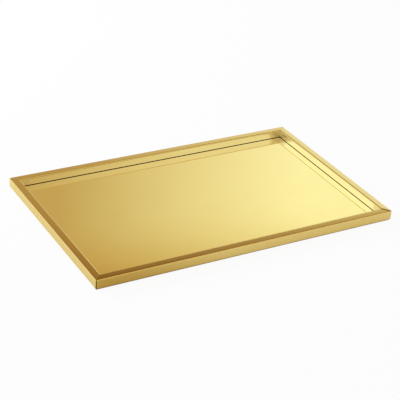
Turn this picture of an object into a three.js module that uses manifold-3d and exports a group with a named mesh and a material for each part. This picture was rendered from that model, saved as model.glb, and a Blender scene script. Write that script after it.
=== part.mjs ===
// Low rectangular tray: four mitred hollow rails hold a mirror-bright floor sheet in a slot.
// L-shaped keys inside the rails join the corners, screwed from below, and soft feet carry it all.
// Millimetres, +Z up, +X along the length. The origin is on the resting plane, under the middle.

import * as THREE from 'three';
import { mergeVertices, toCreasedNormals } from 'three/addons/utils/BufferGeometryUtils.js';
import Module from 'manifold-3d';

const wasm = await Module();
wasm.setup();

// Outside of the tray
const TRAY_LENGTH = 400;
const TRAY_WIDTH = 250;

// Rail section: a hollow extrusion whose top face falls a little from its inner to its outer edge
const RAIL_HEIGHT = 12;
const RAIL_WIDTH = 10;
const RAIL_WALL = 1.2;
const TOP_FALL = 0.4;
const OUTER_TOP_RADIUS = 1;
const INNER_TOP_RADIUS = 1.8;
const OUTER_BOTTOM_RADIUS = 1;
const CORNER_RADIUS = 1;
const MITRE_GAP = 0.1;

// Slot low on the rail's inner face, with a lip under it, and the floor sheet that it holds
const LIP_THICKNESS = 0.8;
const LIP_RADIUS = 0.4;
const SLOT_DEPTH = 3;
const SHEET_THICKNESS = 1;
const SHEET_PLAY = 0.3;
const SHEET_CORNER_CUT = 3;
const SEAM_GAP = 0.7;

// Corner key: an L-shaped casting that slides into the chambers of two rails
const KEY_LEG = 32;
const KEY_FIT = 0.3;
const KEY_TIP_CHAMFER = 0.8;

// Countersunk cross-head screw, up through the rail's underside into the key
const SCREW_DIAMETER = 2.5;
const SCREW_LENGTH = 6;
const SCREW_HEAD_DIAMETER = 4.7;
const SCREW_HEAD_LAND = 0.2;
const SCREW_HEAD_SINK = 0.1;
const SCREW_TIP_CHAMFER = 0.4;
const SCREW_FIT = 0.15;
const SCREW_REACH = 21;
const CROSS_SPAN = 2.5;
const CROSS_WIDTH = 0.6;
const CROSS_DEPTH = 0.9;

// Soft self-adhesive foot under the sheet
const FOOT_DIAMETER = 12;
const FOOT_HEIGHT = 2;
const FOOT_EDGE_RADIUS = 0.8;
const FOOT_INSET = 26;

// Facets: steps along a section's blends, round a screw and round a foot
const BLEND_STEPS = 5;
const SCREW_SIDES = 20;
const FOOT_SIDES = 32;
const CREASE_ANGLE = THREE.MathUtils.degToRad(30);
const QUARTER_TURN = Math.PI / 2;

// Levels above the resting plane: the sheet lies on the feet, and the rails hang round it
const SHEET_BOTTOM = FOOT_HEIGHT;
const RAIL_BOTTOM = SHEET_BOTTOM - LIP_THICKNESS;

// Levels and distances inside the rail section, from its underside and its outer face
const SLOT_ROOF = LIP_THICKNESS + SHEET_THICKNESS + SEAM_GAP;
const SLOT_BACK = RAIL_WIDTH - SLOT_DEPTH;
const OUTER_EDGE_HEIGHT = RAIL_HEIGHT - TOP_FALL;
const TOP_SLOPE = TOP_FALL / RAIL_WIDTH;
const CHAMBER_ROOF = OUTER_EDGE_HEIGHT - RAIL_WALL;
const CHAMBER_SHELF = SLOT_ROOF + RAIL_WALL;
const CHAMBER_LOW_SIDE = SLOT_BACK - RAIL_WALL;
const SCREW_AXIS = (RAIL_WALL + CHAMBER_LOW_SIDE) / 2;

// A closed geometry as a solid that can be cut and joined
function solidOf(geometry) {
  const bare = geometry.clone();
  bare.deleteAttribute('normal');
  bare.deleteAttribute('uv');
  const merged = mergeVertices(bare);
  const mesh = new wasm.Mesh({
    numProp: 3,
    vertProperties: merged.getAttribute('position').array,
    triVerts: Uint32Array.from(merged.getIndex().array),
  });
  return new wasm.Manifold(mesh);
}

// A cut or joined solid as a geometry again, with its edges kept crisp
function geometryOf(solid) {
  const mesh = solid.getMesh();
  const geometry = new THREE.BufferGeometry();
  geometry.setAttribute('position', new THREE.BufferAttribute(mesh.vertProperties, 3));
  geometry.setIndex(new THREE.BufferAttribute(mesh.triVerts, 1));
  return toCreasedNormals(geometry, CREASE_ANGLE);
}

// A revolved piece stands on the +Z axis: the profile's first number is a radius, its second a height
function revolved(profile, sides) {
  const geometry = new THREE.LatheGeometry(profile, sides);
  geometry.rotateX(QUARTER_TURN);
  return geometry;
}

function addMesh(parent, name, geometry, finish) {
  const mesh = new THREE.Mesh(geometry, new THREE.MeshStandardMaterial(finish));
  mesh.name = name;
  parent.add(mesh);
  return mesh;
}

const GOLD_ANODISED = { color: 0xd9b768, roughness: 0.18, metalness: 1 };
const GOLD_MIRROR = { color: 0xf3dc93, roughness: 0.05, metalness: 1 };
const CAST_ALUMINIUM = { color: 0x9a9c9e, roughness: 0.55, metalness: 1 };
const ZINC_PLATED_STEEL = { color: 0xb9bcc0, roughness: 0.35, metalness: 1 };
const GREY_SILICONE = { color: 0x54575a, roughness: 0.6, metalness: 0 };

// Hollow of the rail: full width above the slot, and down to the bottom wall beside it
function chamberOutline() {
  const chamber = new THREE.Path();
  chamber.moveTo(RAIL_WALL, RAIL_WALL);
  chamber.lineTo(RAIL_WALL, CHAMBER_ROOF);
  chamber.lineTo(RAIL_WIDTH - RAIL_WALL, CHAMBER_ROOF);
  chamber.lineTo(RAIL_WIDTH - RAIL_WALL, CHAMBER_SHELF);
  chamber.lineTo(CHAMBER_LOW_SIDE, CHAMBER_SHELF);
  chamber.lineTo(CHAMBER_LOW_SIDE, RAIL_WALL);
  chamber.closePath();
  return chamber;
}

// Rail section: x runs inward from the outer face, y up from the underside
function railSection() {
  const section = new THREE.Shape();
  section.moveTo(OUTER_BOTTOM_RADIUS, 0);
  section.lineTo(RAIL_WIDTH - LIP_RADIUS, 0);
  section.quadraticCurveTo(RAIL_WIDTH, 0, RAIL_WIDTH, LIP_RADIUS);
  section.lineTo(RAIL_WIDTH, LIP_THICKNESS);
  section.lineTo(SLOT_BACK, LIP_THICKNESS);
  section.lineTo(SLOT_BACK, SLOT_ROOF);
  section.lineTo(RAIL_WIDTH, SLOT_ROOF);
  section.lineTo(RAIL_WIDTH, RAIL_HEIGHT - INNER_TOP_RADIUS);
  const innerTopEnd = RAIL_HEIGHT - INNER_TOP_RADIUS * TOP_SLOPE;
  section.quadraticCurveTo(RAIL_WIDTH, RAIL_HEIGHT, RAIL_WIDTH - INNER_TOP_RADIUS, innerTopEnd);
  section.lineTo(OUTER_TOP_RADIUS, OUTER_EDGE_HEIGHT + OUTER_TOP_RADIUS * TOP_SLOPE);
  section.quadraticCurveTo(0, OUTER_EDGE_HEIGHT, 0, OUTER_EDGE_HEIGHT - OUTER_TOP_RADIUS);
  section.lineTo(0, OUTER_BOTTOM_RADIUS);
  section.quadraticCurveTo(0, 0, OUTER_BOTTOM_RADIUS, 0);
  section.holes.push(chamberOutline());
  return section;
}

// A bar of the rail's section along +X, centred, with both ends mitred inward at 45 degrees
function mitredBar(length) {
  const bar = new THREE.ExtrudeGeometry(railSection(), {
    depth: length,
    bevelEnabled: false,
    curveSegments: BLEND_STEPS,
  });
  const points = bar.getAttribute('position');
  for (let i = 0; i < points.count; i += 1) {
    const trim = points.getX(i) + MITRE_GAP * Math.SQRT1_2;
    points.setZ(i, points.getZ(i) === 0 ? trim : length - trim);
  }
  const inward = new THREE.Vector3(0, 1, 0);
  const upward = new THREE.Vector3(0, 0, 1);
  const along = new THREE.Vector3(1, 0, 0);
  bar.applyMatrix4(new THREE.Matrix4().makeBasis(inward, upward, along));
  bar.translate(-length / 2, 0, 0);
  return bar;
}

// Countersunk screw outline, grown by a clearance where it is used to cut its hole
function screwProfile(clearance, bottom) {
  const radius = SCREW_DIAMETER / 2;
  const headRadius = SCREW_HEAD_DIAMETER / 2;
  const coneTop = SCREW_HEAD_LAND + headRadius - radius;
  return [
    new THREE.Vector2(0, bottom),
    new THREE.Vector2(headRadius + clearance, bottom),
    new THREE.Vector2(headRadius + clearance, SCREW_HEAD_LAND),
    new THREE.Vector2(radius + clearance, coneTop),
    new THREE.Vector2(radius + clearance, SCREW_LENGTH - SCREW_TIP_CHAMFER + clearance),
    new THREE.Vector2(radius - SCREW_TIP_CHAMFER + clearance, SCREW_LENGTH + clearance),
    new THREE.Vector2(0, SCREW_LENGTH + clearance),
  ];
}

function screwGeometry() {
  let screw = solidOf(revolved(screwProfile(0, 0), SCREW_SIDES));
  for (const turn of [0, QUARTER_TURN]) {
    const slot = new THREE.BoxGeometry(CROSS_SPAN, CROSS_WIDTH, 2 * CROSS_DEPTH);
    slot.rotateZ(turn);
    screw = screw.subtract(solidOf(slot));
  }
  return geometryOf(screw);
}

// Hole for a screw: it starts well below the rail, so that the head's recess opens at the underside
function screwHole(x, y) {
  const hole = revolved(screwProfile(SCREW_FIT, -SCREW_HEAD_DIAMETER), SCREW_SIDES);
  hole.translate(x, y, SCREW_HEAD_SINK);
  return solidOf(hole);
}

// What dressing takes off a sharp outer corner at the origin, outside a quarter round
function cornerWaste() {
  const outline = new THREE.Shape();
  outline.moveTo(-CORNER_RADIUS, -CORNER_RADIUS);
  outline.lineTo(CORNER_RADIUS, -CORNER_RADIUS);
  outline.lineTo(CORNER_RADIUS, 0);
  outline.absarc(CORNER_RADIUS, CORNER_RADIUS, CORNER_RADIUS, -QUARTER_TURN, -2 * QUARTER_TURN, true);
  outline.lineTo(-CORNER_RADIUS, CORNER_RADIUS);
  outline.closePath();
  const waste = new THREE.ExtrudeGeometry(outline, {
    depth: RAIL_HEIGHT + 2 * CORNER_RADIUS,
    bevelEnabled: false,
    curveSegments: BLEND_STEPS,
  });
  waste.translate(0, 0, -CORNER_RADIUS);
  return waste;
}

// A finished rail: mitred, rounded at its two outer corners and drilled for its two screws
function railGeometry(length) {
  let rail = solidOf(mitredBar(length));
  for (const [turns, end] of [-1, 1].entries()) {
    const waste = cornerWaste();
    waste.rotateZ(turns * QUARTER_TURN);
    waste.translate((end * length) / 2, 0, 0);
    rail = rail.subtract(solidOf(waste));
    rail = rail.subtract(screwHole(end * (length / 2 - SCREW_REACH), SCREW_AXIS));
  }
  return geometryOf(rail);
}

// Plan of a corner key: two legs along +X and +Y from the tray's outer corner, with chamfered tips
function keyPlan(outer, inner) {
  const tip = KEY_LEG - KEY_TIP_CHAMFER;
  const plan = new THREE.Shape();
  plan.moveTo(outer, outer);
  plan.lineTo(tip, outer);
  plan.lineTo(KEY_LEG, outer + KEY_TIP_CHAMFER);
  plan.lineTo(KEY_LEG, inner - KEY_TIP_CHAMFER);
  plan.lineTo(tip, inner);
  plan.lineTo(inner, inner);
  plan.lineTo(inner, tip);
  plan.lineTo(inner - KEY_TIP_CHAMFER, KEY_LEG);
  plan.lineTo(outer + KEY_TIP_CHAMFER, KEY_LEG);
  plan.lineTo(outer, tip);
  plan.closePath();
  return plan;
}

function keySlab(inner, bottom) {
  const top = CHAMBER_ROOF - KEY_FIT;
  const plan = keyPlan(RAIL_WALL + KEY_FIT, inner - KEY_FIT);
  const slab = new THREE.ExtrudeGeometry(plan, { depth: top - bottom - KEY_FIT, bevelEnabled: false });
  slab.translate(0, 0, bottom + KEY_FIT);
  return solidOf(slab);
}

// The key fills the chamber's stepped section, and each leg takes one screw
function keyGeometry() {
  const wideSlab = keySlab(RAIL_WIDTH - RAIL_WALL, CHAMBER_SHELF);
  const tallSlab = keySlab(CHAMBER_LOW_SIDE, RAIL_WALL);
  let key = wideSlab.add(tallSlab);
  key = key.subtract(screwHole(SCREW_REACH, SCREW_AXIS));
  key = key.subtract(screwHole(SCREW_AXIS, SCREW_REACH));
  return geometryOf(key);
}

// Floor sheet, with its corners cut so that they clear the mitres as it slides in
function sheetGeometry() {
  const halfLength = TRAY_LENGTH / 2 - SLOT_BACK - SHEET_PLAY;
  const halfWidth = TRAY_WIDTH / 2 - SLOT_BACK - SHEET_PLAY;
  const outline = new THREE.Shape();
  outline.moveTo(-halfLength + SHEET_CORNER_CUT, -halfWidth);
  outline.lineTo(halfLength - SHEET_CORNER_CUT, -halfWidth);
  outline.lineTo(halfLength, -halfWidth + SHEET_CORNER_CUT);
  outline.lineTo(halfLength, halfWidth - SHEET_CORNER_CUT);
  outline.lineTo(halfLength - SHEET_CORNER_CUT, halfWidth);
  outline.lineTo(-halfLength + SHEET_CORNER_CUT, halfWidth);
  outline.lineTo(-halfLength, halfWidth - SHEET_CORNER_CUT);
  outline.lineTo(-halfLength, -halfWidth + SHEET_CORNER_CUT);
  outline.closePath();
  return new THREE.ExtrudeGeometry(outline, { depth: SHEET_THICKNESS, bevelEnabled: false });
}

// Foot: a flat disc with its lower edge rounded
function footGeometry() {
  const radius = FOOT_DIAMETER / 2;
  const flat = radius - FOOT_EDGE_RADIUS;
  const profile = new THREE.Path();
  profile.moveTo(0, 0);
  profile.lineTo(flat, 0);
  profile.quadraticCurveTo(radius, 0, radius, FOOT_EDGE_RADIUS);
  profile.lineTo(radius, FOOT_HEIGHT);
  profile.lineTo(0, FOOT_HEIGHT);
  return revolved(profile.getPoints(BLEND_STEPS), FOOT_SIDES);
}

// One side of the tray, turned into place: a rail and the two screws that hold its keys
function addSide(tray, side, turns) {
  const group = new THREE.Group();
  group.rotation.z = turns * QUARTER_TURN;
  group.position.z = RAIL_BOTTOM;
  tray.add(group);
  const rail = addMesh(group, `${side.name}_rail`, railGeometry(side.length), GOLD_ANODISED);
  rail.position.y = -side.reach;
  for (const [index, end] of side.ends.entries()) {
    const screw = addMesh(group, `${side.name}_rail_screw_${end}`, screwGeometry(), ZINC_PLATED_STEEL);
    const along = side.length / 2 - SCREW_REACH;
    screw.position.set(index === 0 ? -along : along, SCREW_AXIS - side.reach, SCREW_HEAD_SINK);
  }
}

// One corner of the tray: its key inside the rails, and its foot under the sheet
function addCorner(tray, corner, turns) {
  const group = new THREE.Group();
  group.rotation.z = turns * QUARTER_TURN;
  group.position.set(corner.x, corner.y, 0);
  tray.add(group);
  const key = addMesh(group, `corner_key_${corner.name}`, keyGeometry(), CAST_ALUMINIUM);
  key.position.z = RAIL_BOTTOM;
  const foot = addMesh(group, `foot_${corner.name}`, footGeometry(), GREY_SILICONE);
  foot.position.set(FOOT_INSET, FOOT_INSET, 0);
}

const halfLength = TRAY_LENGTH / 2;
const halfWidth = TRAY_WIDTH / 2;

// Sides and corners in order round the tray, each a quarter turn after the last
const SIDES = [
  { name: 'front', length: TRAY_LENGTH, reach: halfWidth, ends: ['left', 'right'] },
  { name: 'right', length: TRAY_WIDTH, reach: halfLength, ends: ['front', 'back'] },
  { name: 'back', length: TRAY_LENGTH, reach: halfWidth, ends: ['right', 'left'] },
  { name: 'left', length: TRAY_WIDTH, reach: halfLength, ends: ['back', 'front'] },
];
const CORNERS = [
  { name: 'front_left', x: -halfLength, y: -halfWidth },
  { name: 'front_right', x: halfLength, y: -halfWidth },
  { name: 'back_right', x: halfLength, y: halfWidth },
  { name: 'back_left', x: -halfLength, y: halfWidth },
];

const tray = new THREE.Group();
const sheet = addMesh(tray, 'floor_sheet', sheetGeometry(), GOLD_MIRROR);
sheet.position.z = SHEET_BOTTOM;
SIDES.forEach((side, turns) => addSide(tray, side, turns));
CORNERS.forEach((corner, turns) => addCorner(tray, corner, turns));

export default tray;
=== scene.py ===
# %% [markdown]
# # A gold tray with mitred rails
#
# The part is a low vanity tray: four hollow rails, mitred at the corners, hold a mirror-bright
# floor sheet in a slot. Keys and screws join the rails out of sight, and four soft feet carry it.
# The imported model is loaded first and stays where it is. Everything below only gives it its
# surfaces: eased edges, threads, moulded rims, finishes, a room to mirror and a camera.

import math

import bmesh
import bpy
from mathutils import Matrix, Vector


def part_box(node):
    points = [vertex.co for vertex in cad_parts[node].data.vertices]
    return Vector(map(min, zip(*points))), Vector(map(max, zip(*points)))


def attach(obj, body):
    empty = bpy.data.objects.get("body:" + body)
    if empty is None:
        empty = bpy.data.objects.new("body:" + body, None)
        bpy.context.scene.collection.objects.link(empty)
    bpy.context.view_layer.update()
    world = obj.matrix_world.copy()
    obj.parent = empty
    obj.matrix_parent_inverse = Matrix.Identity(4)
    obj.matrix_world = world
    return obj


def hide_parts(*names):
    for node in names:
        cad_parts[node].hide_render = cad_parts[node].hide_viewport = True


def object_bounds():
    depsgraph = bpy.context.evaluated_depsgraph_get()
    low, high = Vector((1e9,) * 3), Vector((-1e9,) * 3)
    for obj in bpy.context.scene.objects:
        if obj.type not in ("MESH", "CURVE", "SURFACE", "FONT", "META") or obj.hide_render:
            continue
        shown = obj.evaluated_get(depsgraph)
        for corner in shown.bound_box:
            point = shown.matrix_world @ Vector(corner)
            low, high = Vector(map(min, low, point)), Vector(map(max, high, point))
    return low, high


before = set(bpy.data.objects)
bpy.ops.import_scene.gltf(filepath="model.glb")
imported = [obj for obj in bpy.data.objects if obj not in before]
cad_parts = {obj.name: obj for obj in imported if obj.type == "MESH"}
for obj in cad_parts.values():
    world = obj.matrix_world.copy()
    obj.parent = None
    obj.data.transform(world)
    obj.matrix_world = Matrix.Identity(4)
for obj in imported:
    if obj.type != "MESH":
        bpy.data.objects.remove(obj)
cad_low, cad_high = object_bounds()
scene = bpy.context.scene
MM = 0.001
print("tray in mm:", [round(side / MM, 2) for side in cad_high - cad_low])

# %% [markdown]
# ## Two helpers for every finish
#
# A designer picks colours as sRGB hex values, but a shader adds up light, so its sockets take
# linear numbers. One function turns the first into the second. The other adds a node to a tree,
# with its settings and with each input set to a value or linked from another socket. A Mix node's
# inputs go by place: 0 is the share, 2 and 3 are two numbers, 6 and 7 two colours. Its output 0 is
# a number, and 2 a colour.

# %% Colours and nodes
def linear(hex_colour):
    """The linear colour, with full alpha, of an sRGB hex value such as '#F3DC93'."""
    shares = [int(hex_colour[start:start + 2], 16) / 255 for start in (1, 3, 5)]
    return [s / 12.92 if s <= 0.04045 else ((s + 0.055) / 1.055) ** 2.4 for s in shares] + [1.0]


def add_node(tree, kind, inputs=None, **settings):
    """A new shader node: settings are its properties, inputs are values or sockets to link from."""
    node = tree.nodes.new("ShaderNode" + kind)
    for name, value in settings.items():
        setattr(node, name, value)
    for socket, value in (inputs or {}).items():
        if isinstance(value, bpy.types.NodeSocket):
            tree.links.new(value, node.inputs[socket])
        else:
            node.inputs[socket].default_value = value
    return node


print("pale gold in linear light:", [round(c, 3) for c in linear("#FDF0A1")[:3]])

# %% [markdown]
# ## The camera
#
# The photograph was taken from the front left, looking down by about thirty degrees, with a long
# lens that keeps the far rails almost parallel to the near ones. The camera could be aimed with a
# constraint, but the picture is also rolled a little, so its three axes are worked out directly:
# forward from yaw and pitch, then the other two turned about it by the roll.

# %% Place the camera
CAMERA_YAW = math.radians(31.64)
CAMERA_PITCH = math.radians(29.25)
CAMERA_ROLL = math.radians(4.78)
CAMERA_DISTANCE = 1.556
CAMERA_AIM = Vector((3.4, 5.6, 1.2)) * MM
# As on a real camera, focal length and sensor are given in millimetres.
LENS = 113.2
SENSOR_WIDTH = 36

forward = Vector((
    math.sin(CAMERA_YAW) * math.cos(CAMERA_PITCH),
    math.cos(CAMERA_YAW) * math.cos(CAMERA_PITCH),
    -math.sin(CAMERA_PITCH),
))
level = Vector((math.cos(CAMERA_YAW), -math.sin(CAMERA_YAW), 0))
overhead = level.cross(forward)
camera_x = math.cos(CAMERA_ROLL) * level + math.sin(CAMERA_ROLL) * overhead
camera_y = math.cos(CAMERA_ROLL) * overhead - math.sin(CAMERA_ROLL) * level
turn = Matrix((camera_x, camera_y, -forward)).transposed()

lens = bpy.data.cameras.new("long_lens")
lens.sensor_width = SENSOR_WIDTH
lens.lens = LENS
camera = bpy.data.objects.new("camera", lens)
camera.matrix_world = Matrix.Translation(CAMERA_AIM - forward * CAMERA_DISTANCE) @ turn.to_4x4()
scene.collection.objects.link(camera)
scene.camera = camera
print("camera at", [round(c, 3) for c in camera.location])

# %% [markdown]
# ## Eased edges
#
# Saw, press and polishing wheel never leave a knife edge, and on bright metal even a tenth of a
# millimetre of rounding catches a line of light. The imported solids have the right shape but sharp
# edges and faces cut into triangles. A bevel modifier would round the triangles' edges too, so a
# copy is cleaned first: its points are welded, its flats are made whole again, and then only the
# edges that stick out are rounded.

# %% Copy a solid and ease its edges
WELD_DISTANCE = 0.002 * MM
FLAT_ANGLE = math.radians(0.5)
SHARP_ANGLE = math.radians(30)
EASE_STEPS = 3
ROUND_PROFILE = 0.5
# At full weight the large faces alone set a shared normal, so that flats are shaded flat.
FULL_WEIGHT = 100


def show(shape, name, finishes, slot_name, *nodes):
    """Turns a bmesh into a smooth-shaded piece that stands for CAD nodes and rides on the tray."""
    mesh = bpy.data.meshes.new(name)
    shape.to_mesh(mesh)
    shape.free()
    for finish in finishes:
        mesh.materials.append(finish)
    mesh.polygons.foreach_set("use_smooth", [True] * len(mesh.polygons))
    piece = bpy.data.objects.new(name, mesh)
    scene.collection.objects.link(piece)
    flats = piece.modifiers.new("flats_stay_flat", "WEIGHTED_NORMAL")
    flats.weight = FULL_WEIGHT
    flats.keep_sharp = True
    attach(piece, "root")
    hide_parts(*nodes)
    return piece


def cleaned(node_name):
    """A bmesh copy of a CAD node, with its points welded and its flats made whole."""
    shape = bmesh.new()
    shape.from_mesh(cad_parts[node_name].data)
    bmesh.ops.remove_doubles(shape, verts=shape.verts, dist=WELD_DISTANCE)
    bmesh.ops.dissolve_limit(shape, angle_limit=FLAT_ANGLE, verts=shape.verts, edges=shape.edges)
    return shape


def eased(node_name, ease):
    """A clean copy of a CAD node, with its outward edges rounded by ease."""
    shape = cleaned(node_name)
    sharp = [edge for edge in shape.edges if edge.calc_face_angle_signed(0) > SHARP_ANGLE]
    bmesh.ops.bevel(
        shape, geom=sharp, offset=ease, offset_type="OFFSET", segments=EASE_STEPS,
        profile=ROUND_PROFILE, affect="EDGES", clamp_overlap=False,
    )
    return shape


print("edges over", round(math.degrees(SHARP_ANGLE)), "degrees are eased in", EASE_STEPS, "steps")

# %% [markdown]
# ## A mask for worn edges
#
# Handling rubs a finish where it sticks out. The Bevel node looks at the surface around a point
# and averages its normal; where that average leans away from the true normal, an edge is near.
# The difference, stretched to run from 0 to 1, is a mask that follows every edge of any piece.
# Other helpers start a finish and, when its tone, roughness and relief are known, put it together.

# %% Worn edges, and a finish's start and end
BEVEL_SAMPLES = 6
FLAT_AGREEMENT = 0.995
EDGE_AGREEMENT = 0.85


def worn_edges(tree, reach):
    """A socket that is 0 on flats and rises to 1 at edges, within reach of them."""
    rounded = add_node(tree, "Bevel", {"Radius": reach}, samples=BEVEL_SAMPLES)
    surface = add_node(tree, "NewGeometry")
    agreement = add_node(tree, "VectorMath", {
        0: rounded.outputs["Normal"], 1: surface.outputs["True Normal"],
    }, operation="DOT_PRODUCT")
    mask = add_node(tree, "MapRange", {
        "Value": agreement.outputs["Value"], "From Min": FLAT_AGREEMENT, "From Max": EDGE_AGREEMENT,
    })
    return mask.outputs["Result"]


def emptied_tree(owner):
    """The node tree of a material or world, with nothing in it."""
    owner.use_nodes = True
    owner.node_tree.nodes.clear()
    return owner.node_tree


def new_finish(name):
    """A material with nothing in it, and its node tree."""
    material = bpy.data.materials.new(name)
    return material, emptied_tree(material)


def put_together(tree, colour, roughness, height, relief, depth, constants):
    """Links sockets of colour, roughness and height to a Principled shader, and sets its constants."""
    bumps = add_node(tree, "Bump", {"Height": height, "Strength": relief, "Distance": depth})
    shader = add_node(tree, "BsdfPrincipled", {
        "Base Color": colour, "Roughness": roughness, "Normal": bumps.outputs["Normal"], **constants,
    })
    add_node(tree, "OutputMaterial", {"Surface": shader.outputs["BSDF"]})


print("an edge is fully worn where the normals agree by", EDGE_AGREEMENT, "or less")

# %% [markdown]
# ## What both golds have in common
#
# Sheet and rails are two metals with three traits in common. Their sides differ, so a mask has to
# know which way a surface faces. A tool drew fine lines along them: noise, squeezed along one axis,
# becomes lines. And gold seen in gold would be tinted twice, far deeper than in the photograph, so
# rays that come from other metal get a pale tone.

# %% Sides, lines and gold in gold
GOLD_IN_A_MIRROR = "#FDFAF4"


def facing(tree, start, full):
    """A socket that rises from 0 to 1 while the normal's Z goes from start to full."""
    surface = add_node(tree, "NewGeometry")
    part = add_node(tree, "SeparateXYZ", {"Vector": surface.outputs["Normal"]})
    turned = add_node(tree, "MapRange", {
        "Value": part.outputs["Z"], "From Min": start, "From Max": full,
    })
    return turned.outputs["Result"]


def drawn_lines(tree, place, spacing, squeeze, detail):
    """A socket of noise that squeeze, a scale for each axis, pulls out into lines."""
    along = add_node(tree, "Mapping", {"Vector": place, "Scale": squeeze})
    lines = add_node(tree, "TexNoise", {
        "Vector": along.outputs["Vector"], "Scale": 1 / spacing, "Detail": detail,
    })
    return lines.outputs["Fac"]


def gild(tree, tone, roughness, lines, relief, depth):
    """Puts a gold together: its lines stand up by depth, and other metal sees it pale."""
    rays = add_node(tree, "LightPath")
    colour = add_node(tree, "Mix", {
        0: rays.outputs["Is Glossy Ray"], 6: tone, 7: linear(GOLD_IN_A_MIRROR),
    }, data_type="RGBA")
    put_together(tree, colour.outputs[2], roughness, lines, relief, depth, {"Metallic": 1})


print("gold mirrored in gold is", GOLD_IN_A_MIRROR)

# %% [markdown]
# ## Finish: mirror-polished steel, coated gold
#
# The floor is stainless sheet, polished to a mirror and given a gold coat in a vacuum. The coat
# follows the polish exactly, so the eye sees a mirror whose reflections are pale yellow. Only small
# things tell it from a perfect one: clouds of thicker coat, the buffing wheel's fine lines along the
# sheet, and dull patches where it was wiped. The back was never polished: a duller, greyer gold.

# %% Gold-coated mirror steel
COAT_CLOUD = 90 * MM
CLOUD_DETAIL = 3
COAT_TONES = ("#FDF1A0", "#FBED9A")
BACK_TONE = "#C9B681"
BACK_START = -0.6
BACK_FULL = -0.9
BACK_ROUGHNESS = 0.34
WIPE_MARK = 45 * MM
WIPE_DETAIL = 4
WIPE_START = 0.52
WIPE_FULL = 0.75
CLEAN_ROUGHNESS = 0.035
WIPED_ROUGHNESS = 0.075
# Real buffing lines are some hundredths of a millimetre apart; drawn coarser so that they show.
BUFF_LINE = 0.7 * MM
BUFF_STRETCH = 60
BUFF_DETAIL = 2
BUFF_ROUGHNESS = 0.02
BUFF_RELIEF = 0.02
BUFF_DEPTH = 0.02 * MM


def gold_coated_mirror_steel():
    """The sheet's finish: a gold mirror above, a dull back below."""
    material, tree = new_finish("gold_coated_mirror_steel")
    place = add_node(tree, "TexCoord").outputs["Object"]
    back = facing(tree, BACK_START, BACK_FULL)
    cloud = add_node(tree, "TexNoise", {
        "Vector": place, "Scale": 1 / COAT_CLOUD, "Detail": CLOUD_DETAIL,
    })
    coat = add_node(tree, "Mix", {
        0: cloud.outputs["Fac"], 6: linear(COAT_TONES[0]), 7: linear(COAT_TONES[1]),
    }, data_type="RGBA")
    sides = add_node(tree, "Mix", {0: back, 6: coat.outputs[2], 7: linear(BACK_TONE)}, data_type="RGBA")
    lines = drawn_lines(tree, place, BUFF_LINE, (1 / BUFF_STRETCH, 1, 1), BUFF_DETAIL)
    wiped = add_node(tree, "TexNoise", {"Vector": place, "Scale": 1 / WIPE_MARK, "Detail": WIPE_DETAIL})
    haze = add_node(tree, "MapRange", {
        "Value": wiped.outputs["Fac"], "From Min": WIPE_START, "From Max": WIPE_FULL,
        "To Min": CLEAN_ROUGHNESS, "To Max": WIPED_ROUGHNESS,
    })
    buffed = add_node(tree, "Math", {
        0: lines, 1: BUFF_ROUGHNESS, 2: haze.outputs["Result"],
    }, operation="MULTIPLY_ADD")
    roughness = add_node(tree, "Mix", {0: back, 2: buffed.outputs["Value"], 3: BACK_ROUGHNESS})
    gild(tree, sides.outputs[2], roughness.outputs[0], lines, BUFF_RELIEF, BUFF_DEPTH)
    return material


mirror_gold = gold_coated_mirror_steel()
print(mirror_gold.name, "has", len(mirror_gold.node_tree.nodes), "nodes")

# %% [markdown]
# ## The floor sheet
#
# One sheet of 1 mm steel, cut with a shear and slid into the rails' slots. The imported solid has
# its outline and its clipped corners. The copy only takes off the burr that a shear leaves.

# %% Floor sheet
SHEET_EASE = 0.12 * MM

shape = eased("floor_sheet", SHEET_EASE)
sheet = show(shape, "mirror_floor", [mirror_gold], "gold_mirror_steel", "floor_sheet")
print(sheet.name, "has", len(sheet.data.polygons), "faces")

# %% [markdown]
# ## Finish: painted shade beside one mitre
#
# The rails are extruded aluminium: polished, anodised and dyed gold. At the right front mitre, a
# short brown stroke on top is painted shade, standing in for the dark that the corner mirrors there.
# It could be painted on an image, but the mitre is a straight line, so how far a point lies from it
# is only a sum of its X and Y.

# %% Painted shade along one mitre
MITRE_SHADE_CORE = 1.2 * MM
MITRE_SHADE_END = 2.0 * MM
MITRE_SHADE_LENGTH = 25 * MM


def mitre_painted_shade(tree, place):
    """A socket that is 1 beside the right front mitre, where the top gets a painted shade."""
    part = add_node(tree, "SeparateXYZ", {"Vector": place})
    x, y = part.outputs["X"], part.outputs["Y"]
    spread = add_node(tree, "Math", {0: x, 1: y})
    off = add_node(tree, "Math", {
        0: spread.outputs[0], 1: cad_high.x + cad_low.y,
    }, operation="SUBTRACT")
    away = add_node(tree, "Math", {0: off.outputs[0]}, operation="ABSOLUTE")
    near = add_node(tree, "MapRange", {
        "Value": away.outputs[0], "From Min": MITRE_SHADE_END * math.sqrt(2),
        "From Max": MITRE_SHADE_CORE * math.sqrt(2),
    }, interpolation_type="SMOOTHSTEP")
    reach = add_node(tree, "Math", {0: x, 1: y}, operation="SUBTRACT")
    corner = add_node(tree, "Math", {
        0: reach.outputs[0], 1: cad_high.x - cad_low.y - MITRE_SHADE_LENGTH,
    }, operation="GREATER_THAN")
    mitre_shade = add_node(tree, "Math", {0: near.outputs[0], 1: corner.outputs[0]}, operation="MULTIPLY")
    return mitre_shade.outputs[0]


print("the stain is", round(2 * MITRE_SHADE_END / MM, 1), "mm wide across the mitre")

# %% [markdown]
# ## Finish: corners that a buffing wheel can't reach
#
# A round wheel runs along a wall but can't get into an inside corner, so the walls are hazier there
# and mirror each other only as soft tones. All four corners are alike. Taking the absolute value of
# X and Y folds them onto one, and one mask does for all.

# %% Hazier inside corners
INNER_WALL = 9 * MM
HAZE_START = 20 * MM
HAZE_CORE = 9 * MM


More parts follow.
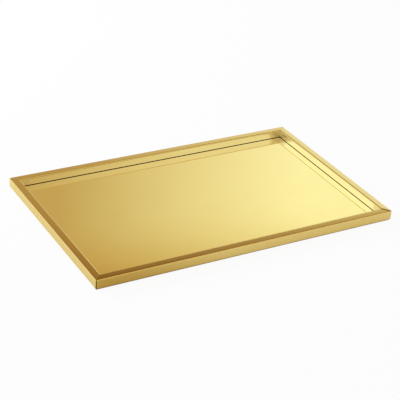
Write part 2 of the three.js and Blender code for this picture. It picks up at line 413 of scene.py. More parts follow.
def insets(tree, place):
    """Sockets for how far a point lies inside the tray's outline, in X and in Y."""
    folded = add_node(tree, "VectorMath", {0: place}, operation="ABSOLUTE")
    inset = add_node(tree, "VectorMath", {
        0: cad_high, 1: folded.outputs["Vector"],
    }, operation="SUBTRACT")
    part = add_node(tree, "SeparateXYZ", {"Vector": inset.outputs["Vector"]})
    return part.outputs["X"], part.outputs["Y"]


def corner_haze(tree, place):
    """A socket that rises to 1 on the inner walls towards the tray's inside corners."""
    x, y = insets(tree, place)
    near = add_node(tree, "Math", {0: x, 1: y}, operation="MINIMUM")
    far = add_node(tree, "Math", {0: x, 1: y}, operation="MAXIMUM")
    inside = add_node(tree, "Math", {0: near.outputs[0], 1: INNER_WALL}, operation="GREATER_THAN")
    close = add_node(tree, "MapRange", {
        "Value": far.outputs[0], "From Min": INNER_WALL + HAZE_START,
        "From Max": INNER_WALL + HAZE_CORE,
    }, interpolation_type="SMOOTHSTEP")
    haze = add_node(tree, "Math", {0: inside.outputs[0], 1: close.outputs[0]}, operation="MULTIPLY")
    return haze.outputs[0]


print("walls get hazier within", round(HAZE_START / MM), "mm of a corner")

# %% [markdown]
# ## Finish: bright anodised aluminium, dyed gold
#
# The die leaves faint lines along the whole length of a rail, and the anodic layer makes the mirror
# less sharp than the floor's. The tops are painted a little darker than the sides, as painted shade,
# and edges wear to a paler, silkier metal. The lines run along X on two rails and along Y on the
# others, so the finish is made once for each direction.

# %% Gold anodised aluminium
DYE_CLOUD = 60 * MM
DYE_TONES = ("#FDF3A8", "#FCEFA2")
# Painted shade: the tops get a darker tone than the sides.
TOP_PAINTED_SHADE_TONE = "#ECD888"
RUBBED_TONE = "#EFDFA0"
# Painted shade: a brown tone beside the right front mitre.
MITRE_PAINTED_SHADE_TONE = "#A07324"
TOP_START = 0.9
TOP_FULL = 0.99
WEAR_REACH = 0.5 * MM
# Die lines are about a tenth of a millimetre apart; drawn coarser so that they show.
DIE_LINE = 0.8 * MM
DIE_STRETCH = 120
DIE_DETAIL = 3
DIE_RELIEF = 0.04
DIE_DEPTH = 0.03 * MM
# Noise seldom leaves the middle of its range from 0 to 1.
NOISE_LOW = 0.3
NOISE_HIGH = 0.7
SMOOTH_DIE = 0.16
ROUGH_DIE = 0.22
EXTRA_ROUGH_TOP = -0.01
EXTRA_ROUGH_CORNER = 0.25
EXTRA_ROUGH_EDGE = 0.08


def gold_anodised_aluminium(direction, squeeze):
    """The rails' finish, its die lines pulled out along one direction."""
    material, tree = new_finish("gold_anodised_aluminium_" + direction)
    place = add_node(tree, "TexCoord").outputs["Object"]
    wear = worn_edges(tree, WEAR_REACH)
    top = facing(tree, TOP_START, TOP_FULL)
    # Painted shade beside the right front mitre, on the tops only.
    mitre_shade = mitre_painted_shade(tree, place)
    on_top = add_node(tree, "Math", {0: mitre_shade, 1: top}, operation="MULTIPLY")
    cloud = add_node(tree, "TexNoise", {
        "Vector": place, "Scale": 1 / DYE_CLOUD, "Detail": CLOUD_DETAIL,
    })
    tone = add_node(tree, "Mix", {
        0: cloud.outputs["Fac"], 6: linear(DYE_TONES[0]), 7: linear(DYE_TONES[1]),
    }, data_type="RGBA")
    # In turn: painted shade on the tops, wear on the edges, and painted shade beside the right front
    # mitre.
    for mask, over in ((top, TOP_PAINTED_SHADE_TONE), (wear, RUBBED_TONE), (on_top.outputs[0], MITRE_PAINTED_SHADE_TONE)):
        tone = add_node(tree, "Mix", {0: mask, 6: tone.outputs[2], 7: linear(over)}, data_type="RGBA")

    lines = drawn_lines(tree, place, DIE_LINE, squeeze, DIE_DETAIL)
    roughness = add_node(tree, "MapRange", {
        "Value": lines, "From Min": NOISE_LOW, "From Max": NOISE_HIGH, "To Min": SMOOTH_DIE,
        "To Max": ROUGH_DIE,
    })
    haze = corner_haze(tree, place)
    for mask, extra in ((top, EXTRA_ROUGH_TOP), (haze, EXTRA_ROUGH_CORNER), (wear, EXTRA_ROUGH_EDGE)):
        roughness = add_node(tree, "Math", {
            0: mask, 1: extra, 2: roughness.outputs[0],
        }, operation="MULTIPLY_ADD")
    gild(tree, tone.outputs[2], roughness.outputs[0], lines, DIE_RELIEF, DIE_DEPTH)
    return material


anodised_along_x = gold_anodised_aluminium("along_x", (1 / DIE_STRETCH, 1, 1))
anodised_along_y = gold_anodised_aluminium("along_y", (1, 1 / DIE_STRETCH, 1))
print(anodised_along_x.name, "and", anodised_along_y.name, "are one recipe in two directions")

# %% [markdown]
# ## A recipe for mottled finishes
#
# The other finishes, from grease to plating, all vary in patches, and a patch that is darker is also
# glossier or duller. So one noise sets both tone and roughness, the same noise or a finer one raises
# the surface, and worn edges may have a tone of their own. Each finish could have its own node tree,
# but one recipe with different numbers is easier to read.

# %% Mottled finishes
PATCH_DETAIL = 4
GRAIN_DETAIL = 2


def mottled(name, patch, tones, roughness, relief, depth, constants, grain=None, wear=None, worn=None):
    """A finish in patches. Bumps are as large as the patches, or as grain; wear is how far from an
    edge the tone worn reaches; constants are the shader's other values."""
    material, tree = new_finish(name)
    place = add_node(tree, "TexCoord").outputs["Object"]
    patches = add_node(tree, "TexNoise", {"Vector": place, "Scale": 1 / patch, "Detail": PATCH_DETAIL})
    colour = add_node(tree, "Mix", {
        0: patches.outputs["Fac"], 6: linear(tones[0]), 7: linear(tones[1]),
    }, data_type="RGBA")
    if wear:
        edges = worn_edges(tree, wear)
        colour = add_node(tree, "Mix", {
            0: edges, 6: colour.outputs[2], 7: linear(worn),
        }, data_type="RGBA")
    dullness = add_node(tree, "MapRange", {
        "Value": patches.outputs["Fac"], "From Min": NOISE_LOW, "From Max": NOISE_HIGH,
        "To Min": roughness[0], "To Max": roughness[1],
    })
    raised = patches
    if grain:
        raised = add_node(tree, "TexNoise", {
            "Vector": place, "Scale": 1 / grain, "Detail": GRAIN_DETAIL,
        })
    put_together(
        tree, colour.outputs[2], dullness.outputs[0], raised.outputs["Fac"], relief, depth, constants,
    )
    return material


print("patches have", PATCH_DETAIL, "layers of noise and finer grain has", GRAIN_DETAIL)

# %% [markdown]
# ## Finish: polishing paste, dark as painted shade
#
# The frame is buffed once more after assembly, and brown paste stays where no cloth reaches: in
# the sheet's slot all round, down the whole left front mitre, and in the groove on top of the right
# one. It is a dull, waxy grease. Its tones are kept very dark, so that it also paints the shade in
# these gaps and grooves, and it draws the dark lines that tell the eye where one piece ends and the
# next begins.

# %% Dried polishing paste, dark as painted shade
# The paste's tones are very dark: it paints the shade of the slot and of the front mitre grooves.
paste_and_shade = mottled(
    "polishing_paste_and_painted_shade", patch=1.2 * MM, tones=("#322204", "#563C08"), roughness=(0.55, 0.8),
    relief=0.4, depth=0.05 * MM, constants={"Specular IOR Level": 0.15},
)
print(paste_and_shade.name, "has", len(paste_and_shade.node_tree.nodes), "nodes")

# %% [markdown]
# ## Where the saw went
#
# Each rail is a length of hollow extrusion, sawn at 45 degrees. Its long blends come from the die and
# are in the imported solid, but the saw leaves sharp edges, which are broken with a file. To find them,
# the script asks of a point how far it lies from a mitre, and whether it is on the rail's outside. A
# file can't get into the hollow or the slot.

# %% Find the saw cuts
SKIN_DEPTH = 0.7 * MM


def side_inset(place):
    """How far a point lies inside the tray's nearest outer side."""
    return min(cad_high.x - abs(place.x), cad_high.y - abs(place.y))


def from_mitre(place):
    """How far a point lies from the mitre plane of the nearest corner."""
    return abs((cad_high.x - abs(place.x)) - (cad_high.y - abs(place.y))) / math.sqrt(2)


def on_skin(place, low, high):
    """Whether a point of a rail with this box is on its outside, not in its hollow or its slot."""
    rail_width = min(high.x - low.x, high.y - low.y)
    deep_across = SKIN_DEPTH < side_inset(place) < rail_width - SKIN_DEPTH
    deep_in_height = low.z + SKIN_DEPTH < place.z < high.z - SKIN_DEPTH
    return not (deep_across and deep_in_height)


def saw_ends(low, high):
    """For each end of a rail with this box, the tray's corner there and the way off its mitre."""
    along_x = high.x - low.x > high.y - low.y
    for end in (-1, 1):
        side_x = end if along_x else math.copysign(1, low.x + high.x)
        side_y = math.copysign(1, low.y + high.y) if along_x else end
        across = Vector((-side_x, side_y, 0)).normalized() * (1 if along_x else -1)
        yield Vector((side_x * cad_high.x, side_y * cad_high.y, 0)), across


print("a rail's skin is taken to be", round(SKIN_DEPTH / MM, 1), "mm deep")

# %% [markdown]
# ## Eased saw cuts
#
# A filed edge makes each mitre a fine groove. The bevel tool gives up on these edges, because the
# shortest of a sawn end's many edges limits how far it may round. So cuts parallel to the mitre give
# the skin new rings of points, and each ring sinks along a quarter circle, deeper the nearer it is to
# the saw cut. Edges that stay sharp are marked, so that the shading doesn't run round them.

# %% Ease the sawn ends of a rail
SAW_EASE = 0.12 * MM
CUT_TOLERANCE = WELD_DISTANCE / 10
# A face whose normal is this close to the way off the mitre is the saw cut itself.
SAWN_FACE = 0.99


def sinking(point, across, distance):
    """The move of a skin point that lies this far from its saw cut: inwards, on a quarter circle."""
    normals = [face.normal for face in point.link_faces]
    skins = [normal for normal in normals if abs(normal.dot(across)) < SAWN_FACE]
    outward = sum(skins, Vector()).normalized()
    sideways = outward - across * outward.dot(across)
    turned = math.asin(min(1, 1 - distance / SAW_EASE))
    sink = SAW_EASE * (1 - math.cos(turned))
    return sideways * (-sink / sideways.dot(outward))


def sawn_rail(node_name):
    """A clean copy of a rail, with the edges of its two saw cuts rounded by SAW_EASE."""
    low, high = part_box(node_name)
    shape = cleaned(node_name)
    saw_cut = min(from_mitre(point.co) for point in shape.verts)
    for edge in shape.edges:
        middle = (edge.verts[0].co + edge.verts[1].co) / 2
        filed = from_mitre(middle) < saw_cut + WELD_DISTANCE and on_skin(middle, low, high)
        edge.smooth = filed or edge.calc_face_angle(0) < SHARP_ANGLE
    moves = []
    for corner, across in saw_ends(low, high):
        for step in range(EASE_STEPS):
            back = SAW_EASE * (1 - math.sin(math.pi / 2 * step / EASE_STEPS))
            bmesh.ops.bisect_plane(
                shape, geom=shape.verts[:] + shape.edges[:] + shape.faces[:], dist=CUT_TOLERANCE,
                plane_co=corner + across * (saw_cut + back), plane_no=across,
            )
        shape.normal_update()
        for point in shape.verts:
            distance = (point.co - corner).dot(across) - saw_cut
            if distance <= SAW_EASE - WELD_DISTANCE and on_skin(point.co, low, high):
                moves.append((point, sinking(point, across, distance)))
    for point, move in moves:
        point.co += move
    bmesh.ops.remove_doubles(shape, verts=shape.verts, dist=WELD_DISTANCE)
    return shape


print("saw cuts are eased by", round(SAW_EASE / MM, 2), "mm")

# %% [markdown]
# ## The four rails
#
# Two long rails and two short ones hold the sheet in a slot under their inner lip. They are one
# extrusion in two lengths, so one loop dresses all four. Faces in the slot and in the front mitres
# get the dark paste as a second material, picked by where they lie; it paints the shade in these gaps.

# %% Rails
SLOT_INSET = 6.5 * MM
SLOT_HEADROOM = 1.2 * MM
RIGHT_MITRE_REACH = 0.3 * MM
LEFT_MITRE_REACH = 0.6 * MM
TOP_GROOVE = 1.0 * MM
RAIL_FINISH = {
    "front_rail": anodised_along_x,
    "right_rail": anodised_along_y,
    "back_rail": anodised_along_x,
    "left_rail": anodised_along_y,
}
sheet_low, sheet_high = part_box("floor_sheet")


def holds_paste_and_shade(place):
    """Whether a point of a rail lies in the sheet's slot or in a front mitre."""
    slot_low = sheet_low.z - WELD_DISTANCE
    slot_high = sheet_high.z + SLOT_HEADROOM
    in_slot = side_inset(place) > SLOT_INSET and slot_low < place.z < slot_high
    if place.x < 0:
        in_mitre = from_mitre(place) < LEFT_MITRE_REACH
    else:
        in_mitre = from_mitre(place) < RIGHT_MITRE_REACH and cad_high.z - place.z < TOP_GROOVE
    return in_slot or (in_mitre and place.y < 0)


# Painted shade: faces in the slot and in the front mitres get the dark paste.
for rail_name, finish in RAIL_FINISH.items():
    shape = sawn_rail(rail_name)
    for face in shape.faces:
        face.material_index = int(holds_paste_and_shade(face.calc_center_median()))
    rail = show(shape, rail_name + "_extrusion", [finish, paste_and_shade], "gold_anodised_aluminium", rail_name)
    pasted_and_shaded = sum(face.material_index for face in rail.data.polygons)
    print(rail.name, "has", len(rail.data.polygons), "faces,", pasted_and_shaded, "with paste")

# %% [markdown]
# ## Finish and pieces: die-cast corner keys
#
# The keys are cast aluminium, left as they come from the die: a grey skin with a soft grain,
# smoother and paler where the trimming tool rubbed the edges. They sit inside the rails, so the
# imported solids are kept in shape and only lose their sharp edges.

# %% Corner keys
KEY_EASE = 0.2 * MM
CORNERS = ("front_left", "front_right", "back_right", "back_left")

cast_grey = mottled(
    "die_cast_aluminium", patch=9 * MM, tones=("#8D9092", "#A9ABAC"), roughness=(0.42, 0.58),
    relief=0.35, depth=0.05 * MM, constants={"Metallic": 1}, grain=0.9 * MM, wear=WEAR_REACH,
    worn="#C9CBCC",
)
for corner in CORNERS:
    node_name = "corner_key_" + corner
    shape = eased(node_name, KEY_EASE)
    key = show(shape, "cast_key_" + corner, [cast_grey], "cast_aluminium", node_name)
print("four keys of", len(key.data.polygons), "faces each")

# %% [markdown]
# ## Finish: zinc-plated steel
#
# The screws are steel with a bright zinc plating. The bath leaves faint clouds from bluish to
# yellowish grey and a fine crystal grain, and the rim of the head is rubbed bright by the driver.

# %% Zinc-plated steel
zinc = mottled(
    "zinc_plated_steel", patch=1.5 * MM, tones=("#B4BBC4", "#C6C4B8"), roughness=(0.26, 0.42),
    relief=0.1, depth=0.02 * MM, constants={"Metallic": 1}, wear=0.15 * MM, worn="#DBDCDC",
)
print(zinc.name, "has", len(zinc.node_tree.nodes), "nodes")

# %% [markdown]
# ## Rings and strips
#
# Screws and feet are round, and a round thing can be made by spinning a profile with a modifier.
# Here each ring of points is laid one by one instead, because a ring whose radius may change with the
# angle can also become a thread. A second helper joins loops with strips of quads.

# %% Rings of points, strips of faces
RING_SIDES = 32


def ring(shape, centre, height, radius):
    """A ring of points round a vertical axis; radius is a number, or gives one for an angle."""
    points = []
    for step in range(RING_SIDES):
        angle = 2 * math.pi * step / RING_SIDES
        out = radius(angle) if callable(radius) else radius
        place = (centre.x + out * math.cos(angle), centre.y + out * math.sin(angle), height)
        points.append(shape.verts.new(place))
    return points


def bridge(shape, loops):
    """Quads from each loop to the next; all have as many points."""
    for lower, upper in zip(loops, loops[1:]):
        for here in range(len(lower)):
            after = (here + 1) % len(lower)
            shape.faces.new((lower[here], lower[after], upper[after], upper[here]))


print("a ring has", RING_SIDES, "points")

# %% [markdown]
# ## Thread and cross
#
# A screw is known by its thread and its cross, and both come from formulas. The thread is a ridge
# that climbs one pitch in each turn, so its radius depends on height and angle together. The cross
# is an outline of twelve points, drawn once at the head's face and once, smaller, at its foot.

# %% Thread and cross recess
THREAD_PITCH = 0.45 * MM
THREAD_DEPTH = 0.26 * MM
SHANK_RADIUS = 1.25 * MM
CROSS_REACH = 1.25 * MM
CROSS_HALF_WIDTH = 0.3 * MM


def thread_radius(height):
    """Radius by angle of a screw thread at a height: a ridge that climbs one pitch a turn."""
    def radius_at(angle):
        phase = (height / THREAD_PITCH - angle / (2 * math.pi)) % 1
        return SHANK_RADIUS - THREAD_DEPTH * abs(2 * phase - 1)
    return radius_at


def cross_loop(shape, centre, height, grow, turned):
    """The twelve points of a cross recess at one height."""
    reach, half = CROSS_REACH * grow, CROSS_HALF_WIDTH * grow
    points = []
    for quarter in range(4):
        for out, across in ((reach, -half), (reach, half), (half, half)):
            angle = turned + quarter * math.pi / 2
            x = out * math.cos(angle) - across * math.sin(angle)
            y = out * math.sin(angle) + across * math.cos(angle)
            points.append(shape.verts.new((centre.x + x, centre.y + y, height)))
    return points


print("the thread climbs", round(THREAD_PITCH / MM, 2), "mm a turn")

# %% [markdown]
# ## The eight screws
#
# Countersunk screws come up through the rails' undersides into the keys. A plain pin would do from a
# distance, but the underside is looked at too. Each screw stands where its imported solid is: a head
# with an eased rim, a cone, the threaded shank and a blunt tip. No two screws stop at the same angle,
# so each is turned on from the one before.

# %% Screws
THREAD_ROWS = 6
HEAD_LAND = 0.2 * MM
HEAD_EASE = 0.06 * MM
TIP_LENGTH = 0.5 * MM
CROSS_DEPTH = 0.9 * MM
CROSS_TAPER = 0.72
SCREW_TURN = math.radians(37)


def threaded_screw(node_name, turned):
    """A countersunk screw in the place of a CAD node, head down."""
    low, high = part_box(node_name)
    centre = (low + high) / 2
    head_radius = (high.x - low.x) / 2
    cone_top = low.z + HEAD_LAND + head_radius - SHANK_RADIUS
    shape = bmesh.new()
    rings = [
        ring(shape, centre, low.z, head_radius - HEAD_EASE),
        ring(shape, centre, low.z + HEAD_EASE, head_radius),
        ring(shape, centre, low.z + HEAD_LAND, head_radius),
        ring(shape, centre, cone_top, SHANK_RADIUS - THREAD_DEPTH),
    ]
    thread_length = high.z - TIP_LENGTH - cone_top
    rows = round(thread_length / THREAD_PITCH * THREAD_ROWS)
    for row in range(1, rows + 1):
        height = cone_top + thread_length * row / rows
        rings.append(ring(shape, centre, height, thread_radius(height)))
    rings.append(ring(shape, centre, high.z, SHANK_RADIUS - TIP_LENGTH))
    bridge(shape, rings)
    shape.faces.new(rings[-1])

    mouth = cross_loop(shape, centre, low.z, 1, turned)
    foot = cross_loop(shape, centre, low.z + CROSS_DEPTH, CROSS_TAPER, turned)
    bridge(shape, [mouth, foot])
    shape.faces.new(foot)
    face_edges = []
    for loop in (mouth, rings[0]):
        for here, point in enumerate(loop):
            face_edges.append(shape.edges.get((point, loop[here - 1])))
    bmesh.ops.triangle_fill(shape, edges=face_edges, use_beauty=True)
    bmesh.ops.recalc_face_normals(shape, faces=shape.faces)
    return shape


screw_nodes = sorted(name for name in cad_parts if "_screw_" in name)
for index, node_name in enumerate(screw_nodes):
    shape = threaded_screw(node_name, index * SCREW_TURN)
    screw = show(shape, node_name.replace("_rail_", "_key_"), [zinc], "zinc_plated_steel", node_name)
print(len(screw_nodes), "screws of", len(screw.data.polygons), "faces each")

# %% [markdown]
# ## Finish: moulded silicone
#
# The feet are silicone, which is dull and slightly mottled. It gathers pale dust where it meets the
# table, and it has the fine texture of a spark-eroded mould. The recipe's patches, edges and grain
# stand for these three. Silicone also bends light a little less than most plastics.

# %% Moulded silicone
silicone = mottled(
    "moulded_silicone", patch=3 * MM, tones=("#4A4D50", "#5E6164"), roughness=(0.5, 0.66),
    relief=0.3, depth=0.03 * MM, constants={"IOR": 1.41}, grain=0.35 * MM, wear=0.6 * MM,
    worn="#7D7F80",
)
print(silicone.name, "has", len(silicone.node_tree.nodes), "nodes")

# %% [markdown]
# ## The four feet
#
# Each foot is a moulded bumper with a self-adhesive film. The shape is a profile swept round an axis:
# a flat sole with a rounded rim, a side with a little draft so that it leaves the mould, and the film
# standing back a little at the top.

# %% Feet
SOLE_RIM = 0.8 * MM
SOLE_STEPS = 6
FOOT_DRAFT = 0.1 * MM
FILM_THICKNESS = 0.15 * MM
FILM_STEP = 0.25 * MM


def foot_profile(radius, height):
    """Radius and height of the foot's rings, from the sole's flat to the top of the film."""
    profile = []
    for step in range(SOLE_STEPS + 1):
        angle = math.pi / 2 * step / SOLE_STEPS
        profile.append((radius - SOLE_RIM * (1 - math.sin(angle)), SOLE_RIM * (1 - math.cos(angle))))
    shoulder = height - FILM_THICKNESS
    film = radius - FILM_STEP
    return profile + [(radius - FOOT_DRAFT, shoulder), (film, shoulder), (film, height)]


def moulded_foot(node_name):
    """A round bumper in the place of a CAD node, sole down."""
    low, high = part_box(node_name)
    centre = (low + high) / 2
    shape = bmesh.new()
    rings = []
    for radius, height in foot_profile((high.x - low.x) / 2, high.z - low.z):
        rings.append(ring(shape, centre, low.z + height, radius))
    bridge(shape, rings)
    shape.faces.new(rings[0])
    shape.faces.new(rings[-1])
    bmesh.ops.recalc_face_normals(shape, faces=shape.faces)
    return shape


for corner in CORNERS:
    node_name = "foot_" + corner
    foot = show(moulded_foot(node_name), "bumper_" + corner, [silicone], "grey_silicone", node_name)
print("four feet of", len(foot.data.polygons), "faces each")

# %% [markdown]
# ## The floor it stands on
#
# A plain pale sheet of paper takes the tray's shadow. It lies a hair below the feet, so that the two
# surfaces don't fight for the same pixels, and it is large enough to fill every view. It isn't a part
# of the tray.

# %% Stage floor
FLOOR_HALF = 6
FLOOR_DROP = 0.05 * MM

shape = bmesh.new()
bmesh.ops.create_grid(shape, x_segments=2, y_segments=2, size=FLOOR_HALF)
floor_mesh = bpy.data.meshes.new("studio_floor")
shape.to_mesh(floor_mesh)
shape.free()
floor = bpy.data.objects.new("studio_floor", floor_mesh)
floor.location.z = cad_low.z - FLOOR_DROP
scene.collection.objects.link(floor)
print("floor at", round(floor.location.z / MM, 3), "mm")

# %% [markdown]
# ## Paper, as the metal sees it
#
# Gold throws its own colour on whatever is near it, so the paper beside the tray is cream. In front
# it goes from shade at the left to light at the right, which keeps the front face from being one flat
# tone. Only rays that come from polished metal see this: to them the paper is the lower half of the
# room that they mirror.

# %% Matt paper and its tints
FIBRE = 25 * MM
SHADE_START = -190 * MM
SHADE_END = 10 * MM
SHADE_MARGIN = 4 * MM

paper, tree = new_finish("matt_paper")
rays = add_node(tree, "LightPath")
place = add_node(tree, "TexCoord").outputs["Object"]
fibre = add_node(tree, "TexNoise", {"Vector": place, "Scale": 1 / FIBRE, "Detail": CLOUD_DETAIL})
tint = add_node(tree, "Mix", {
    0: fibre.outputs["Fac"], 6: linear("#F1F0EE"), 7: linear("#F4F3F1"),
}, data_type="RGBA")
along = add_node(tree, "SeparateXYZ", {"Vector": place})
graded = add_node(tree, "MapRange", {
    "Value": along.outputs["X"], "From Min": SHADE_START, "From Max": SHADE_END,
}, interpolation_type="SMOOTHSTEP")
front_tint = add_node(tree, "Mix", {
    0: graded.outputs[0], 6: linear("#D5B886"), 7: linear("#FCEBD4"),
}, data_type="RGBA")
in_front = add_node(tree, "MapRange", {
    "Value": along.outputs["Y"], "From Min": cad_low.y + SHADE_MARGIN, "From Max": cad_low.y,
})
cream = add_node(tree, "Mix", {
    0: in_front.outputs[0], 6: linear("#F0DFC7"), 7: front_tint.outputs[2],
}, data_type="RGBA")
paper_tint = add_node(tree, "Mix", {
    0: rays.outputs["Is Glossy Ray"], 6: tint.outputs[2], 7: cream.outputs[2],
}, data_type="RGBA")
print(paper.name, "is graded over", round((SHADE_END - SHADE_START) / MM), "mm in front of the tray")

# %% [markdown]
# ## Paper, as the camera sees it
#
# In the picture the floor is white and its shadow faint. So for camera rays most of the paper is a
# plain white glow, and a small share of it stays lit paper, which keeps the shadow. Under the rails
# the glow ends, and the paper there is painted brown, a painted contact shadow, so that the gap
# between paper and metal shows as a thin brown line. The helper that found the rails' corners tells
# how deep under the tray a point lies.

# %% White floor with a contact line
FLOOR_GLOW = 0.92
CONTACT_START = 1.0 * MM
CONTACT_FULL = 1.9 * MM

white = add_node(tree, "Emission", {"Color": linear("#FFFFFF")})
inset_x, inset_y = insets(tree, place)
inwards = add_node(tree, "Math", {0: inset_x, 1: inset_y}, operation="MINIMUM")
open_floor = add_node(tree, "MapRange", {
    "Value": inwards.outputs[0], "From Min": CONTACT_FULL, "From Max": CONTACT_START,
    "To Max": FLOOR_GLOW,
}, interpolation_type="SMOOTHSTEP")
to_camera = rays.outputs["Is Camera Ray"]
glow = add_node(tree, "Math", {0: to_camera, 1: open_floor.outputs[0]}, operation="MULTIPLY")
# Painted shade: under the rails, camera rays see the paper painted brown.
underneath = add_node(tree, "Math", {0: to_camera, 1: glow.outputs[0]}, operation="SUBTRACT")
painted_contact_shade = add_node(tree, "Mix", {
    0: underneath.outputs[0], 6: paper_tint.outputs[2], 7: linear("#94702C"),
}, data_type="RGBA")
lit = add_node(tree, "BsdfDiffuse", {"Color": painted_contact_shade.outputs[2]})
above = add_node(tree, "MixShader", {0: glow.outputs["Value"], 1: lit.outputs[0], 2: white.outputs[0]})
print("the floor's glow ends", round(CONTACT_FULL / MM, 1), "mm under the rails")

# %% [markdown]
# ## Paper, out of the way
#
# A library part is also looked at from below. There the paper would hide the underside and keep the
# light from it, so its lower face is clear, and rays that leave the underside pass through as well.

# %% Floor that steps aside
OPEN_START = 2 * MM
OPEN_END = 8 * MM

surface = add_node(tree, "NewGeometry")
clear = add_node(tree, "BsdfTransparent")
below_tray = add_node(tree, "MapRange", {
    "Value": inwards.outputs[0], "From Min": OPEN_START, "From Max": OPEN_END,
}, interpolation_type="SMOOTHSTEP")
hidden = add_node(tree, "Math", {0: below_tray.outputs[0], 1: to_camera}, operation="SUBTRACT")
aside = add_node(tree, "Math", {
    0: hidden.outputs[0], 1: surface.outputs["Backfacing"],
}, operation="MAXIMUM")
sided = add_node(tree, "MixShader", {0: aside.outputs[0], 1: above.outputs[0], 2: clear.outputs[0]})
add_node(tree, "OutputMaterial", {"Surface": sided.outputs[0]})
floor_mesh.materials.append(paper)
print(paper.name, "has", len(tree.nodes), "nodes")

# %% [markdown]
# ## The room that the gold mirrors
#
# Polished metal has no look of its own: it shows the room. A plain white room would make the tray
# one flat yellow. Photographers stand pale walls around such a thing and leave a dim gap between
# them, so that a mirror shows a slow change from light to shade. Walls could be modelled, but this
# room is drawn in the world by direction: a heading round the compass and a height above the horizon.

# %% Directions
GAP_CENTRE = math.radians(1)

world = bpy.data.worlds.new("studio_room")
scene.world = world
tree = emptied_tree(world)
towards = add_node(tree, "TexCoord").outputs["Generated"]
part = add_node(tree, "SeparateXYZ", {"Vector": towards})
heading = add_node(tree, "Math", {0: part.outputs["X"], 1: part.outputs["Y"]}, operation="ARCTAN2")
height = add_node(tree, "Math", {0: part.outputs["Z"]}, operation="ARCSINE")
steepness = add_node(tree, "Math", {0: height.outputs[0]}, operation="ABSOLUTE")
sideways = add_node(tree, "Math", {0: heading.outputs[0]}, operation="SINE")
folded = add_node(tree, "Math", {0: sideways.outputs[0]}, operation="ARCSINE")
off_gap = add_node(tree, "Math", {0: folded.outputs[0], 1: GAP_CENTRE}, operation="SUBTRACT")
from_gap = add_node(tree, "Math", {0: off_gap.outputs[0]}, operation="ABSOLUTE")
print("the gap is", round(math.degrees(GAP_CENTRE)), "degree right of the tray's own Y axis")

# %% [markdown]
# ## Walls and gaps
#
# Folding the heading puts one gap ahead of the tray and one behind it, with a wall at each side. The
# walls behind are dimmer, because the lamps stand at the far side, and the two pairs run into each
# other over a wide angle so that no mirror shows a hard seam.

# %% Walls
GAP_CORE = math.radians(23.2)
GAP_END = math.radians(44.4)
GAP_LEVEL = 0.4
WALL_LEVEL = 1.42
REAR_CORE = math.radians(21.5)
REAR_END = math.radians(29)
REAR_LEVEL = 0.84
FRONT_SIDE = 0.2
REAR_SIDE = -0.35

pairs = []
for core, end, level in ((GAP_CORE, GAP_END, WALL_LEVEL), (REAR_CORE, REAR_END, REAR_LEVEL)):
    pair = add_node(tree, "MapRange", {
        "Value": from_gap.outputs[0], "From Min": core, "From Max": end, "To Min": GAP_LEVEL,
        "To Max": level,
    })
    pairs.append(pair.outputs[0])
behind = add_node(tree, "MapRange", {
    "Value": part.outputs["Y"], "From Min": FRONT_SIDE, "From Max": REAR_SIDE,
})
walls = add_node(tree, "Mix", {0: behind.outputs[0], 2: pairs[0], 3: pairs[1]})
print("walls from", GAP_LEVEL, "in the gap to", WALL_LEVEL, "ahead and", REAR_LEVEL, "behind")

# %% [markdown]
# ## Shade on the walls
#
# Real walls aren't even. Light from a softbox falls off upwards, here along a slant, which draws the
# dark lines on the rails' rounded edges. Near the floor the walls lie in shade, and one corner of the
# room, front left of the tray, gets less light than the others.

# %% Fade, feet and dim corner
WALL_TOP_LEVEL = 0.06
REAR_TOP_LEVEL = 0.6
FADE_SLANT = math.radians(10.3)
FADE_START = math.radians(34.8)
FADE_END = math.radians(42.4)
FOOT_START = math.radians(6)
FOOT_END = math.radians(20)
FOOT_LEVEL = 0.4
DIM_TOWARDS = Vector((-0.574, -0.819, 0.0))
DIM_START = 0.45
DIM_CORE = 0.88
DIM_LEVEL = 0.76

wall_top = add_node(tree, "MapRange", {
    "Value": behind.outputs[0], "To Min": WALL_TOP_LEVEL, "To Max": REAR_TOP_LEVEL,
})
slanted = add_node(tree, "Math", {
    0: sideways.outputs[0], 1: FADE_SLANT, 2: height.outputs[0],
}, operation="MULTIPLY_ADD")
fade = add_node(tree, "MapRange", {
    "Value": slanted.outputs[0], "From Min": FADE_START, "From Max": FADE_END, "To Min": 1.0,
    "To Max": wall_top.outputs[0],
}, interpolation_type="SMOOTHSTEP")
foot_of_wall = add_node(tree, "MapRange", {
    "Value": steepness.outputs[0], "From Min": FOOT_START, "From Max": FOOT_END,
    "To Min": FOOT_LEVEL, "To Max": 1.0,
}, interpolation_type="SMOOTHSTEP")
to_dim = add_node(tree, "VectorMath", {0: towards, 1: DIM_TOWARDS}, operation="DOT_PRODUCT")
dim = add_node(tree, "MapRange", {
    "Value": to_dim.outputs["Value"], "From Min": DIM_START, "From Max": DIM_CORE, "To Min": 1.0,
    "To Max": DIM_LEVEL,
})
lit_walls = walls
for shade in (fade, foot_of_wall, dim):
    lit_walls = add_node(tree, "Math", {
        0: lit_walls.outputs[0], 1: shade.outputs[0],
    }, operation="MULTIPLY")
print("walls fade over", round(math.degrees(FADE_END - FADE_START), 1), "degrees of height")

# %% [markdown]
# ## Ceiling and tones
#
# Overhead is a soft ceiling, a little lighter to the right, so that the tray isn't one flat tone from
# above either. Up to here the room is only a brightness. A colour ramp turns it into tones: a studio's
# shade is warm, from brown through tan to white, and the fading walls are warmer still.

# %% Ceiling and tones
CEILING_START = math.radians(48)
CEILING_END = math.radians(66)
CEILING_SPAN = 0.25
CEILING_LEFT = 0.36
CEILING_RIGHT = 0.56
ROOM_TONES = (
    (0.0, "#5C3308"),
    (0.18, "#9B7436"),
    (0.35, "#BFA079"),
    (0.49, "#CFBA9C"),
    (0.79, "#EFE6DB"),
    (1.0, "#FFFFFF"),
)

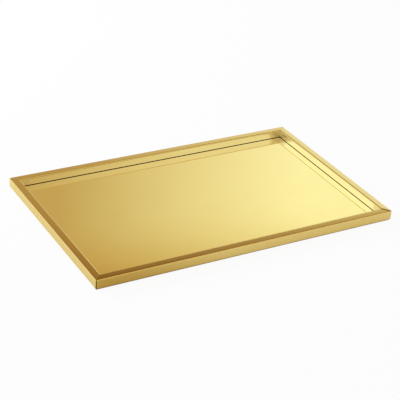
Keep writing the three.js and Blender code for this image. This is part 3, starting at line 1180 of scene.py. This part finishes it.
ceiling = add_node(tree, "MapRange", {
    "Value": steepness.outputs[0], "From Min": CEILING_START, "From Max": CEILING_END,
}, interpolation_type="SMOOTHSTEP")
ceiling_tone = add_node(tree, "MapRange", {
    "Value": part.outputs["X"], "From Min": -CEILING_SPAN, "From Max": CEILING_SPAN,
    "To Min": CEILING_LEFT, "To Max": CEILING_RIGHT,
})
brightness = add_node(tree, "Mix", {
    0: ceiling.outputs[0], 2: lit_walls.outputs[0], 3: ceiling_tone.outputs[0],
})
tones = add_node(tree, "ValToRGB", {"Fac": brightness.outputs[0]})
while len(tones.color_ramp.elements) < len(ROOM_TONES):
    tones.color_ramp.elements.new(1.0)
for stop, (position, tone) in zip(tones.color_ramp.elements, ROOM_TONES):
    stop.position = position
    stop.color = linear(tone)
warmth = add_node(tree, "Mix", {
    0: fade.outputs[0], 6: linear("#FFEEA8"), 7: linear("#FFFFFF"),
}, data_type="RGBA")
warmed = add_node(tree, "Mix", {
    0: 1.0, 6: tones.outputs["Color"], 7: warmth.outputs[2],
}, data_type="RGBA", blend_type="MULTIPLY")
print("room tones from", ROOM_TONES[0][1], "to", ROOM_TONES[-1][1])

# %% [markdown]
# ## Who sees the room
#
# One softbox at the left glows a little above white. Then the Light Path node shares the world out:
# camera rays see plain white, rays from polished metal see the room, and everything else is lit by an
# even, plain level. So the picture's white ground doesn't wash out the gold.

# %% Softbox and light paths
SOFTBOX_TOWARDS = Vector((-0.55, 0.71, 0.45)).normalized()
SOFTBOX_END = math.cos(math.radians(24))
SOFTBOX_CORE = math.cos(math.radians(8))
SOFTBOX_LEVEL = 1.13
ROOM_STRENGTH = 1.02
EVEN_LIGHT = linear("#DCDCDC")

to_softbox = add_node(tree, "VectorMath", {0: towards, 1: SOFTBOX_TOWARDS}, operation="DOT_PRODUCT")
softbox = add_node(tree, "MapRange", {
    "Value": to_softbox.outputs["Value"], "From Min": SOFTBOX_END, "From Max": SOFTBOX_CORE,
    "To Min": ROOM_STRENGTH, "To Max": ROOM_STRENGTH * SOFTBOX_LEVEL,
}, interpolation_type="SMOOTHSTEP")
rays = add_node(tree, "LightPath")
mirrored = add_node(tree, "Mix", {
    0: rays.outputs["Is Glossy Ray"], 6: EVEN_LIGHT, 7: warmed.outputs[2],
}, data_type="RGBA")
seen = add_node(tree, "Mix", {
    0: rays.outputs["Is Camera Ray"], 6: mirrored.outputs[2], 7: linear("#FFFFFF"),
}, data_type="RGBA")
strength = add_node(tree, "Mix", {0: rays.outputs["Is Glossy Ray"], 2: 1.0, 3: softbox.outputs[0]})
room = add_node(tree, "Background", {"Color": seen.outputs[2], "Strength": strength.outputs[0]})
add_node(tree, "OutputWorld", {"Surface": room.outputs[0]})
print(world.name, "has", len(tree.nodes), "nodes")

# %% [markdown]
# ## The key light
#
# One large soft lamp from behind and a little left gives the tray a shadow in front of it, which
# its front face mirrors as a deeper gold. Mirrors would show the lamp as a hard white square, so
# only the floor and the matt pieces see it: the room already holds its glow.

# %% Key lamp
KEY_TOWARDS = Vector((-0.5, 0.8, 0.38)).normalized()
KEY_DISTANCE = 1.8
KEY_SIZE = 0.7
KEY_SHARE = 0.34

key_power = KEY_SHARE * math.pi ** 2 * KEY_DISTANCE ** 2 / KEY_TOWARDS.z
lamp = bpy.data.lights.new("key_lamp", "AREA")
lamp.shape = "DISK"
lamp.size = KEY_SIZE
lamp.energy = key_power
lamp.color = linear("#D6E2FF")[:3]
key_lamp = bpy.data.objects.new("key_lamp", lamp)
key_lamp.location = KEY_TOWARDS * KEY_DISTANCE
key_lamp.rotation_euler = KEY_TOWARDS.to_track_quat("Z", "Y").to_euler()
key_lamp.visible_glossy = False
scene.collection.objects.link(key_lamp)
print("key lamp of", round(key_power, 1), "W")

# %% [markdown]
# ## Finish
#
# Colours are shown as they are, with the Standard view.

# %% View transform
scene.view_settings.view_transform = "Standard"
bpy.context.view_layer.update()
